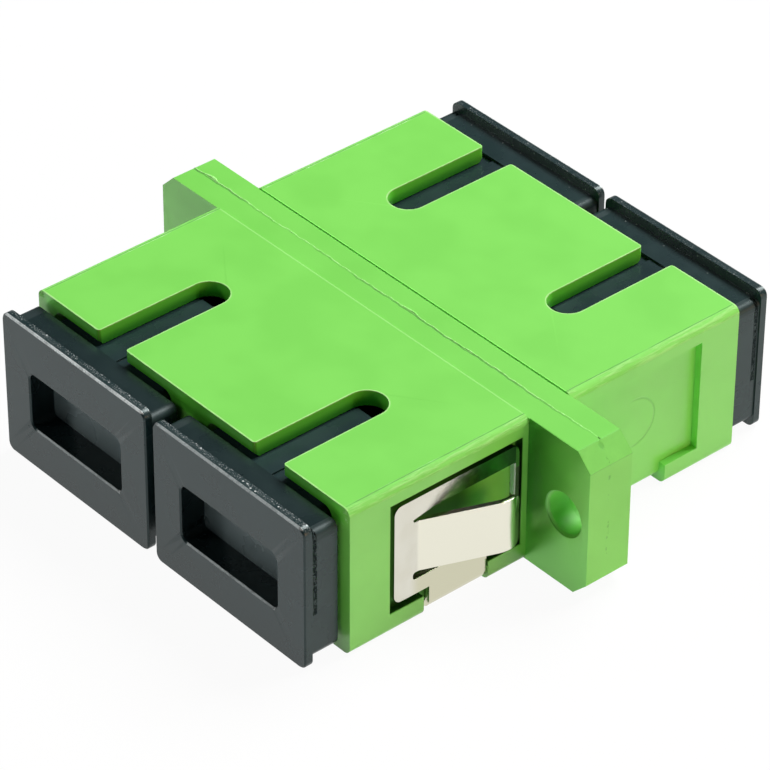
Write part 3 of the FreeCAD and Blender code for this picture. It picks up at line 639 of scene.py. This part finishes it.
def capPocket(finish, look, x, y, z, patches):
    # painted shade on the walls and floor of the pocket, painted light on its back wall, and a painted
    # highlight on the sill under its opening
    slackAcross, slackUp = look["pocketSlack"]
    across = abs(abs(x) - look["pocketAcross"]) - look["pocketHalf"]
    up = abs(z - look["pocketUp"]) - look["pocketTall"]
    within = across.below(slackAcross) * up.below(slackUp)
    pocketShade = within * finish.ramp(abs(y), *look["pocketStart"])
    pocketBackLight = within * finish.band(abs(y) - look["pocketBack"], *look["backLine"])
    sillHighlight = finish.band(abs(y) - bodyPlan["capFace"], *look["sillLine"]) * across.below(-look["sillInset"])
    sillHighlight = sillHighlight * finish.band(z - look["pocketUp"] + look["pocketTall"], *look["sillUpLine"])
    return pocketShade, pocketBackLight, sillHighlight * finish.ramp(patches, *look["sillFade"])


def capScuffs(finish, look, vector, y, z, grain, patches):
    # the speckled back edge of the lip, and small chips about it
    behind = abs(y) - look["lipBack"]
    scuffs = finish.band(behind - look["scuffOffset"], *look["scuffLine"])
    scuffs = scuffs * finish.band(z - bodyPlan["capTop"], *look["scuffUpLine"])
    scuffs = scuffs * finish.ramp(grain, *look["scuffGrain"]) * finish.ramp(patches, *look["scuffPatches"])
    chips = finish.dots(vector, *look["chips"]) * finish.band(behind - look["chipOffset"], *look["chipLine"])
    chips = chips * z.above(look["collarTop"] - look["collarDepth"])
    chips = chips * abs(y).below(bodyPlan["capFace"] - look["chipInset"])
    return (scuffs * look["scuffStrength"]).most(chips) * finish.ramp(y, *look["scuffEnds"])


def makeCapPlastic():
    look = capLook
    finish = Finish("capPlastic")
    vector = finish.place()
    x, y, z = finish.axes(vector)
    cloud = finish.noise(vector, *look["cloud"])
    grain = finish.noise(vector, *look["grain"])
    patches = finish.noise(vector, *look["patches"])
    crumbs = finish.noise(vector, *look["crumbs"])
    pocketShade, pocketBackLight, sillHighlight = capPocket(finish, look, x, y, z, patches)
    scuffs = capScuffs(finish, look, vector, y, z, grain, patches)
    dust = finish.dots(vector, *look["dust"]) * z.above(bodyPlan["capTop"] - look["dustDepth"])

    # a thin painted highlight along the top front edge of the lip
    edge = finish.band(abs(y) - bodyPlan["capFace"], *look["edgeLine"])
    edge = edge * finish.band(z - bodyPlan["capTop"], *look["edgeLine"]) * finish.ramp(x, *look["edgeSides"])
    edge = edge * finish.ramp(patches, *look["edgePatches"]) * finish.ramp(crumbs, *look["edgeCrumbs"])

    # black dashes down the outer sides, and the dull ends of the collar
    dashes = finish.band(abs(y) - look["lipBack"] + look["dashOffset"], *look["dashLine"])
    dashes = dashes * abs(x).above(look["outerSide"]) * z.above(look["dashLow"])
    dashes = dashes * finish.ramp(crumbs, *look["dashCrumbs"])
    inner, outer = look["collarSides"]
    collarEnds = abs(x).above(outer).most(abs(x).below(inner))
    collarEnds = collarEnds * finish.band(z - look["collarTop"], *look["collarLine"])
    collarEnds = collarEnds * abs(y).inside(look["collarBack"] - look["collarSkin"], look["lipBack"])

    # the tops behind the front caps' lips lie in shade
    upward = z.above(look["collarTop"] - look["collarDepth"]) * y.below(0.0)
    upward = upward * abs(y).below(look["lipBack"] - look["lipGap"])
    start, end = look["shadedFade"]
    shaded = finish.ramp(abs(y), look["collarBack"] - start, look["collarBack"] - end, *look["shadedShares"])

    # painted highlights on the lip's front edge and the sill, with real scuffs and dust
    worn = edge.most(scuffs * look["scuffShare"], sillHighlight * look["sillShare"], dust * look["dustShare"])
    base = finish.mix(finish.ramp(cloud, *look["cloudFade"]), rgb(look["colour"]), rgb(look["pale"]))
    # painted shade inside the pocket, then painted light on its back wall
    base = finish.mix(pocketShade * look["pocketShare"], base, rgb(look["black"]))
    base = finish.mix(upward * shaded, base, rgb(look["black"]))
    base = finish.mix(pocketBackLight, base, rgb(look["pocket"]))
    base = finish.mix(dashes * look["dashShare"], base, rgb(look["black"]))
    base = finish.mix(worn, base, rgb(look["worn"]))
    roughness = look["roughness"] + (cloud - 0.5) * look["roughnessChange"]
    height = grain * look["grainHeight"] - dashes * look["dashDepth"]
    return finish.finish(**{"Base Color": base, "Metallic": dashes * look["dashMetal"],
                            "Roughness": roughness.most(collarEnds * look["collarRoughness"]),
                            "Normal": finish.bump(height), "Specular IOR Level": look["specular"],
                            "Specular Tint": look["specularTint"]})


clipLook = {
    "colour": (222, 220, 207),
    "dull": (216, 213, 198),
    "crest": (234, 232, 215),
    "strap": (208, 206, 180),
    "cut": (226, 246, 252),
    "bar": (84, 115, 83),
    "far": (146, 182, 118),
    "bend": (140, 130, 128),
    "slit": (70, 76, 50),
    "roughness": 0.15,
    "roughnessChange": 0.08,
    "lineHeight": 0.003,
    "dentHeight": 0.006,
    # rolling lines along the sheet, soft clouds and shallow dents
    "lines": (2.0, 3.0, 0.6),
    "lineStretch": (1.0, 0.6, 26.0),
    "cloud": (0.5, 2.0),
    "dents": (2.2, 2.0),
    "cloudFade": (0.3, 0.7),
    "face": 12.47,
    # the tongue, painted lighter for its brighter reflection, from its root to its bend, which is painted
    # darker as a dark reflection
    "root": -8.8,
    "rootFade": 0.1,
    "middle": 4.6,
    "tongueLine": (1.68, 1.78),
    "bendFade": (-3.95, -3.6),
    # the strap under the housing, painted a little darker as shade, and yellower
    "strapUp": (2.95, 2.55),
    "strapAlong": (-9.4, -8.6),
    # the cut edge at the end of the window, bright with a painted highlight, and the bars over and beside
    # it, painted with dark green reflections of the housing
    "windowEnd": -2.3,
    "windowTop": 6.6,
    "windowSkin": 0.15,
    "cutOffset": 0.02,
    "cutLine": (0.07, 0.1),
    "cutPlastic": 0.8,
    "barFade": (-7.2, -4.4),
    "farOffset": 0.1,
    "farFade": (3.0, 4.4),
    # the lower slit, painted dark as shade
    "slitUp": 2.73,
    "slitLine": (0.2, 0.24),
    "slitAlong": (-9.2, -6.8),
    "slitSkin": 0.03,
    "slitDull": 0.6,
}


def makeClipSteel():
    look = clipLook
    finish = Finish("clipSteel")
    vector = finish.place()
    x, y, z = finish.axes(vector)
    lines = finish.noise(finish.stretch(vector, look["lineStretch"]), *look["lines"])
    cloud = finish.noise(vector, *look["cloud"])
    dents = finish.noise(vector, *look["dents"])
    root, middle, windowEnd = look["root"], look["middle"], look["windowEnd"]
    onTongue = finish.ramp(y, root - look["rootFade"], root + look["rootFade"])
    onTongue = onTongue * finish.band(z - middle, *look["tongueLine"])
    bendReflection = onTongue * finish.ramp(y, *look["bendFade"])
    onStrap = finish.ramp(z, *look["strapUp"]) * finish.ramp(y, *look["strapAlong"])
    cut = finish.band(y - windowEnd - look["cutOffset"], *look["cutLine"])
    cut = cut * z.inside(middle, look["windowTop"])
    barReflection = finish.ramp(y, *look["barFade"]) * z.above(look["windowTop"] - look["windowSkin"])
    barReflection = barReflection * (1 - onTongue)
    farBarReflection = y.above(windowEnd + look["farOffset"]) * (1 - onTongue) * finish.ramp(z, *look["farFade"])
    slitShade = finish.band(z - look["slitUp"], *look["slitLine"]) * y.inside(*look["slitAlong"])
    slitShade = slitShade * abs(x).below(look["face"] - look["slitSkin"])

    base = finish.mix(finish.ramp(cloud, *look["cloudFade"]), rgb(look["colour"]), rgb(look["dull"]))
    # the tongue, the strap, the bars, the bend and the slit are painted reflections, light and shade, and
    # the cut edge a painted highlight
    for mask, colour in ((onTongue, "crest"), (onStrap, "strap"), (barReflection, "bar"), (farBarReflection, "far"),
                         (bendReflection, "bend"), (slitShade, "slit"), (cut, "cut")):
        base = finish.mix(mask, base, rgb(look[colour]))
    metallic = 1.0 - (cut * look["cutPlastic"]).most(slitShade * look["slitDull"])
    roughness = look["roughness"] + (lines - 0.5) * look["roughnessChange"]
    height = lines * look["lineHeight"] + dents * look["dentHeight"]
    return finish.finish(**{"Base Color": base, "Metallic": metallic, "Normal": finish.bump(height),
                            "Roughness": roughness.most(slitShade * look["slitDull"])})


def makeLatchPlastic():
    look = {
        "colour": (40, 46, 48),
        "pale": (50, 56, 58),
        "roughness": 0.5,
        "roughnessChange": 0.1,
        "grain": (8.0, 2.0),
        "grainHeight": 0.004,
    }
    finish = Finish("latchPlastic")
    grain = finish.noise(finish.place(), *look["grain"])
    return finish.finish(**{"Base Color": finish.mix(grain, rgb(look["colour"]), rgb(look["pale"])),
                            "Roughness": look["roughness"] + (grain - 0.5) * look["roughnessChange"],
                            "Normal": finish.bump(grain * look["grainHeight"])})


def makeSleeveCeramic():
    look = {
        "colour": (238, 236, 226),
        "pale": (228, 226, 216),
        "roughness": 0.24,
        "roughnessChange": 0.08,
        "grain": (5.0, 2.0),
        "grainStretch": (1.0, 6.0, 1.0),
        "grainHeight": 0.002,
    }
    finish = Finish("sleeveCeramic")
    grain = finish.noise(finish.stretch(finish.place(), look["grainStretch"]), *look["grain"])
    return finish.finish(**{"Base Color": finish.mix(grain, rgb(look["colour"]), rgb(look["pale"])),
                            "Roughness": look["roughness"] + (grain - 0.5) * look["roughnessChange"],
                            "Normal": finish.bump(grain * look["grainHeight"])})


materials = {
    "housing": makeHousingPlastic(),
    "flash": makeFlashPlastic(),
    "cap": makeCapPlastic(),
    "clip": makeClipSteel(),
    "latch": makeLatchPlastic(),
    "sleeve": makeSleeveCeramic(),
}
print("materials made")


# how each kind of piece has its sharp edges rounded, in millimetres and degrees
easedEdges = {
    "housing": {"width": 0.06, "segments": 3, "suffix": "Shell"},
    "cap": {"width": 0.05, "segments": 3, "suffix": "Moulding"},
    "clip": {"width": 0.03, "segments": 2, "suffix": "Sheet"},
}
easingPlan = {
    "merge": 0.002,
    "flat": 1.0,            # faces that turn less than this become one
    "sharp": 32,            # edges that turn more than this are rounded
    "flatWeight": 80,
}


def bodyOf(node):
    for body, nodes in frame["record"]["behaviour"]["bodies"].items():
        if node in nodes:
            return body
    raise KeyError(node)


def easedCopy(node, kind):
    # the same piece merged to clean faces, with a small round on every sharp edge
    plan = easedEdges[kind]
    mesh = frame["nodes"][node].data.copy()
    shape = bmesh.new()
    shape.from_mesh(mesh)
    bmesh.ops.remove_doubles(shape, verts=shape.verts, dist=easingPlan["merge"] * mm)
    bmesh.ops.dissolve_limit(shape, angle_limit=math.radians(easingPlan["flat"]), verts=shape.verts,
                             edges=shape.edges, delimit=set())
    # faces that turn back on themselves are cut up, so that no hole in them is covered
    bmesh.ops.connect_verts_concave(shape, faces=shape.faces)
    for face in shape.faces:
        face.smooth = True
    shape.to_mesh(mesh)
    shape.free()
    mesh.materials.clear()
    mesh.materials.append(materials[kind])
    piece = bpy.data.objects.new(node + plan["suffix"], mesh)
    bpy.context.scene.collection.objects.link(piece)
    bevel = piece.modifiers.new("easedEdges", "BEVEL")
    bevel.width = plan["width"] * mm
    bevel.segments = plan["segments"]
    bevel.limit_method = "ANGLE"
    bevel.angle_limit = math.radians(easingPlan["sharp"])
    bevel.face_strength_mode = "FSTR_ALL"
    # the wide flat faces keep their own direction, and the rounds take up the turn
    shading = piece.modifiers.new("evenShading", "WEIGHTED_NORMAL")
    shading.mode = "FACE_AREA_WITH_ANGLE"
    shading.weight = easingPlan["flatWeight"]
    shading.use_face_influence = True
    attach(piece, bodyOf(node))
    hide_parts(node)


for node, thing in frame["nodes"].items():
    kind = node.split("_")[-1]
    if kind in easedEdges:
        easedCopy(node, kind)
    else:
        thing.data.materials.clear()
        thing.data.materials.append(materials[kind])
print("frame pieces dressed")


flashPlan = {
    "pace": 0.12,           # between the points of the bead
    "offset": 0.11,         # behind the weld line
    "width": 0.13,
    "rise": 0.03,
    "sink": 0.06,
    "highest": 0.07,
    # side to side as shares of the width, and whether the row stands up: the near foot, the near
    # shoulder, the far shoulder and the far foot
    "rows": [(-0.5, False), (-0.25, True), (0.25, True), (0.5, False)],
    # the places of the thick lumps along X, their half length, extra width and extra rise
    "lumps": [(-14.8, 0.6, 0.2, 0.025), (-8.0, 0.5, 0.06, 0.02), (1.6, 0.8, 0.1, 0.02),
              (6.2, 0.5, 0.06, 0.015)],
    # the even share, the uneven share, the pace along X and the seed of the rise and of the width
    "risePace": (0.75, 0.6, 2.6, 4.0),
    "widthPace": (0.8, 0.5, 3.1, 7.0),
}


def seamWander(x):
    return sum(height * math.sin(x * pace + start) for height, pace, start in seamPlan["waves"])


def seamOpen(x):
    for (low, first), (high, second) in zip(seamPlan["open"], seamPlan["open"][1:]):
        if low <= x <= high:
            return first + (second - first) * (x - low) / (high - low)
    return 0.0


def beadSize(x):
    # the bead's width and rise at this place along X, lumps included
    width, rise = flashPlan["width"], flashPlan["rise"] * seamOpen(x)
    for place, half, wider, higher in flashPlan["lumps"]:
        share = max(0.0, 1 - ((x - place) / half) ** 2)
        width += wider * share
        rise += higher * share
    return width, rise


def placeRow(row, side, raised):
    # one row of the bead's points, moved from the straight line to its own side and height
    even, uneven, pace, seed = flashPlan["risePace"]
    evenWidth, unevenWidth, widthPace, widthSeed = flashPlan["widthPace"]
    for vert in row:
        x = vert.co.x / mm
        width, rise = beadSize(x)
        lumpy = even + uneven * noise.noise(Vector((x * pace, side, seed)))
        spread = evenWidth + unevenWidth * noise.noise(Vector((x * widthPace, widthSeed, side)))
        middle = flashPlan["offset"] + seamWander(x) + (width - flashPlan["width"]) * 0.5
        height = min(rise * lumpy, flashPlan["highest"]) if raised else -flashPlan["sink"]
        vert.co.y = (middle + side * width * spread) * mm
        vert.co.z = (bodyPlan["flangeHigh"] + height) * mm


def makeWeldFlash():
    # a low uneven bead of melted plastic behind the weld line, along the top of the flange
    shape = bmesh.new()
    end = bodyPlan["flangeEnd"] - bodyPlan["flangeCorner"]
    first = shape.verts.new((-end * mm, 0, 0))
    last = shape.verts.new((end * mm, 0, 0))
    edge = shape.edges.new((first, last))
    bmesh.ops.subdivide_edges(shape, edges=[edge], cuts=int(2 * end / flashPlan["pace"]))
    rows = [list(shape.verts)]
    nearFoot = edges = list(shape.edges)
    while len(rows) < len(flashPlan["rows"]):
        grown = bmesh.ops.extrude_edge_only(shape, edges=edges)["geom"]
        rows.append([part for part in grown if isinstance(part, bmesh.types.BMVert)])
        edges = [part for part in grown if isinstance(part, bmesh.types.BMEdge)
                 and all(vert in rows[-1] for vert in part.verts)]
    for row, (side, raised) in zip(rows, flashPlan["rows"]):
        placeRow(row, side, raised)
    # the underside joins the two feet, and a face closes each end
    bmesh.ops.bridge_loops(shape, edges=nearFoot + edges)
    rim = [side for side in shape.edges if side.is_boundary]
    bmesh.ops.holes_fill(shape, edges=rim, sides=4)
    bmesh.ops.recalc_face_normals(shape, faces=shape.faces)
    for face in shape.faces:
        face.smooth = True
    mesh = bpy.data.meshes.new("weldFlash")
    shape.to_mesh(mesh)
    shape.free()
    mesh.materials.append(materials["flash"])
    piece = bpy.data.objects.new("weldFlash", mesh)
    bpy.context.scene.collection.objects.link(piece)
    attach(piece, "adapter")


makeWeldFlash()
print("weld flash made")


stagePlan = {
    "floorSize": 4.0,
    "floorDrop": 0.00002,
    "floorColour": (0.95, 0.95, 0.95, 1.0),
    "white": (1.0, 1.0, 1.0, 1.0),
    "glow": 1.0,
    "shadow": 0.05,
    "worldLight": 0.05,
    "lamps": [
        # name, place, size, watts, colour
        ("skylight", (0.0, 0.31, 0.44), 0.3, 3.7, (1.0, 1.0, 1.0)),
        ("warmSide", (0.5, 0.1, 0.07), 0.25, 1.08, (1.0, 0.56, 0.32)),
        ("frontGlint", (-0.365, -0.35, 0.31), 0.1, 0.45, (1.0, 1.0, 1.0)),
    ],
    "cameraPlace": (0.146835, -0.127996, 0.146669),
    "cameraForward": (-0.60778, 0.52902, -0.59223),
    "cameraUp": (-0.4505, 0.38445, 0.80576),
    "lens": 212.727,
    "sensor": 36,
    "clip": (0.001, 10),
}


def makeFloor():
    bpy.ops.mesh.primitive_plane_add(size=stagePlan["floorSize"], location=(0, 0, -stagePlan["floorDrop"]))
    floor = bpy.context.object
    floor.name = "table"
    # white to the camera and in reflections, and still darkened a little by the object's shadow
    finish = Finish("tableWhite", "ShaderNodeMixShader")
    rays = finish.node("ShaderNodeLightPath")
    camera, glossy, through = [finish.wire(rays.outputs[name]) for name in
                               ("Is Camera Ray", "Is Glossy Ray", "Is Transmission Ray")]
    paper = finish.node("ShaderNodeBsdfDiffuse", None, {"Color": stagePlan["floorColour"]})
    shine = {"Color": stagePlan["white"], "Strength": stagePlan["glow"]}
    glow = finish.node("ShaderNodeEmission", None, shine)
    share, under, over = finish.shader.inputs
    finish.feed(share, camera.most(glossy, through) * (1 - stagePlan["shadow"]))
    finish.feed(under, paper.outputs[0])
    finish.feed(over, glow.outputs[0])
    floor.data.materials.append(finish.material)


def makeLamp(name, place, size, watts, colour):
    lamp = bpy.data.lights.new(name, "AREA")
    lamp.shape = "SQUARE"
    lamp.size = size
    lamp.energy = watts
    lamp.color = colour
    holder = bpy.data.objects.new(name, lamp)
    bpy.context.scene.collection.objects.link(holder)
    holder.location = place
    # every lamp looks at the middle of the table
    holder.rotation_euler = (-Vector(place)).to_track_quat("-Z", "Y").to_euler()


def makeCamera():
    data = bpy.data.cameras.new("camera")
    data.lens = stagePlan["lens"]
    data.sensor_width = stagePlan["sensor"]
    data.clip_start, data.clip_end = stagePlan["clip"]
    camera = bpy.data.objects.new("camera", data)
    bpy.context.scene.collection.objects.link(camera)
    forward = Vector(stagePlan["cameraForward"]).normalized()
    right = forward.cross(Vector(stagePlan["cameraUp"])).normalized()
    up = right.cross(forward).normalized()
    turned = [[right[i], up[i], -forward[i], stagePlan["cameraPlace"][i]] for i in range(3)]
    camera.matrix_world = Matrix([*turned, [0, 0, 0, 1]])
    bpy.context.scene.camera = camera


def makeWorld():
    world = bpy.data.worlds.new("studio")
    world.use_nodes = True
    background = world.node_tree.nodes["Background"]
    background.inputs["Color"].default_value = stagePlan["white"]
    background.inputs["Strength"].default_value = stagePlan["worldLight"]
    bpy.context.scene.world = world


bpy.context.scene.view_settings.view_transform = "Standard"
makeWorld()
makeFloor()
for lampPlan in stagePlan["lamps"]:
    makeLamp(*lampPlan)
makeCamera()
print("stage made")
